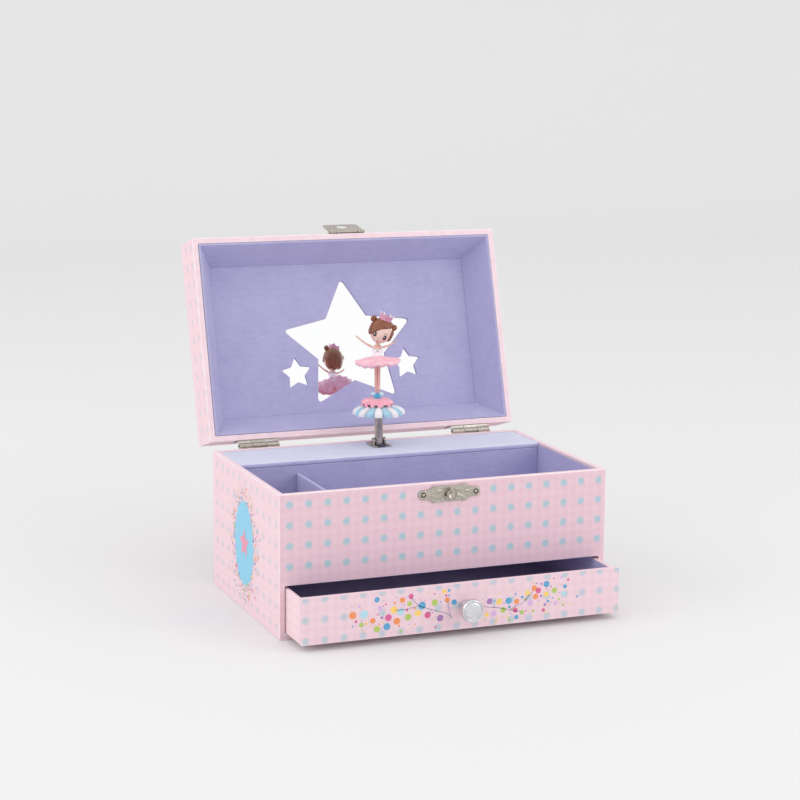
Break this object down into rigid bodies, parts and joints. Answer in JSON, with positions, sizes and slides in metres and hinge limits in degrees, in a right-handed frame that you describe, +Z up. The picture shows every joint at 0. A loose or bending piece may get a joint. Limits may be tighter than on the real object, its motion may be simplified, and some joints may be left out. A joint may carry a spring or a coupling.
{
  "type": "musical jewellery box",
  "caption": "Papered board jewellery box with a hinged mirrored lid, a drawer, a divided tray and a dancer that turns to a spring-driven music movement and folds down as the lid shuts.",
  "frame": {"origin": "middle of the case's underside", "axes": "+X right along the front, +Y towards the back, +Z up"},
  "size_m": [0.24, 0.2746, 0.2524],
  "materials": {
    "printed_paper": "greyboard covered in satin printed paper, pink with pale blue dots",
    "lilac_flock": "card covered in lilac flocked paper",
    "pale_lilac_flock": "card covered in pale lilac paper",
    "navy_flock": "card covered in dark violet flocked paper",
    "plated_metal": "pressed sheet, nickel plated",
    "chrome_knob": "polished",
    "steel": "drawn or rolled steel",
    "brass": "turned",
    "mirror_glass": "silvered acrylic sheet",
    "white_petals": "satin ribbon petals",
    "rose_cloth": "pleated satin",
    "sky_ribbon": "satin ribbon",
    "skin_paint": "moulded and painted",
    "white_paint": "moulded and painted",
    "hair_paint": "moulded and painted",
    "crown_gilt": "moulded and painted"
  },
  "bodies": {
    "case": {"base_board": "printed_paper", "left_wall": "printed_paper", "right_wall": "printed_paper", "front_panel": "printed_paper", "back_wall": "printed_paper", "deck": "printed_paper", "floor_lining": "lilac_flock", "wall_lining": "lilac_flock", "divider": "lilac_flock", "shelf_top": "pale_lilac_flock", "shelf_front": "lilac_flock", "catch_plate": "plated_metal", "catch_stud": "plated_metal", "left_hinge_case_leaf": "plated_metal", "left_hinge_pin": "plated_metal", "right_hinge_case_leaf": "plated_metal", "right_hinge_pin": "plated_metal", "spring_barrel": "steel", "mainspring": "steel", "comb": "steel", "movement_frame": "steel", "spindle_bracket": "plated_metal"},
    "lid": {"lid_top": "printed_paper", "lid_left": "printed_paper", "lid_right": "printed_paper", "lid_front": "printed_paper", "lid_back": "printed_paper", "lid_liner": "lilac_flock", "star_panel": "lilac_flock", "mirror": "mirror_glass", "left_hinge_lid_leaf": "plated_metal", "right_hinge_lid_leaf": "plated_metal", "hasp_plate": "plated_metal", "hasp_pin": "plated_metal"},
    "hasp": {"hasp_flap": "plated_metal"},
    "drawer": {"drawer_front": "printed_paper", "drawer_left": "printed_paper", "drawer_right": "printed_paper", "drawer_back": "printed_paper", "drawer_bottom": "printed_paper", "drawer_pad": "navy_flock", "knob": "chrome_knob", "knob_screw": "steel"},
    "spindle": {"spindle_tube": "steel"},
    "dancer": {"dancer_shaft": "steel", "petal_skirt": "white_petals", "ruffle": "rose_cloth", "bow": "sky_ribbon", "legs": "skin_paint", "tutu": "rose_cloth", "torso": "white_paint", "head": "skin_paint", "hair": "hair_paint", "crown": "crown_gilt"},
    "key": {"winding_key": "plated_metal", "great_wheel": "brass"},
    "cylinder": {"music_cylinder": "brass"},
    "governor": {"governor": "brass"},
    "drive": {"drive_shaft": "steel", "drive_spring": "steel"}
  },
  "joints": [
    {"name": "lid_hinge", "type": "hinge", "parent": "case", "child": "lid", "pos_m": [0, 0.0792, 0.1], "axis": [1, 0, 0], "range_deg": [0, 106.5]},
    {"name": "hasp_hinge", "type": "hinge", "parent": "lid", "child": "hasp", "pos_m": [0.001, 0.12591, 0.24855], "axis": [1, 0, 0], "range_deg": [-10, 152]},
    {"name": "drawer_slide", "type": "slide", "parent": "case", "child": "drawer", "axis": [0, -1, 0], "range_m": [-0.0317, 0.0733]},
    {"name": "spindle_fold", "type": "hinge", "parent": "case", "child": "spindle", "pos_m": [0.001, 0.057, 0.102], "axis": [1, 0, 0], "range_deg": [0, 88.1], "deforming": ["petal_skirt", "ruffle", "drive_spring"]},
    {"name": "dancer_turn", "type": "hinge", "parent": "spindle", "child": "dancer", "pos_m": [0.001, 0.057, 0.102], "axis": [0, 0, 1], "continuous": true},
    {"name": "key_turn", "type": "hinge", "parent": "case", "child": "key", "pos_m": [0.001, 0.06, 0.058], "axis": [0, 1, 0], "continuous": true},
    {"name": "cylinder_turn", "type": "hinge", "parent": "case", "child": "cylinder", "pos_m": [0.019, 0.045, 0.058], "axis": [0, 1, 0], "continuous": true},
    {"name": "governor_turn", "type": "hinge", "parent": "case", "child": "governor", "pos_m": [0.0244, 0.045, 0.06735], "axis": [0, 1, 0], "continuous": true},
    {"name": "drive_turn", "type": "hinge", "parent": "case", "child": "drive", "pos_m": [0.001, 0.057, 0.08], "axis": [0, 0, 1], "continuous": true}
  ],
  "couplings": [
    {"joint": "spindle_fold", "follows": "lid_hinge", "ratio": 0.82629},
    {"joint": "key_turn", "follows": "dancer_turn", "ratio": 0.25},
    {"joint": "cylinder_turn", "follows": "dancer_turn", "ratio": -1},
    {"joint": "governor_turn", "follows": "dancer_turn", "ratio": 5},
    {"joint": "drive_turn", "follows": "dancer_turn", "ratio": 1}
  ]
}
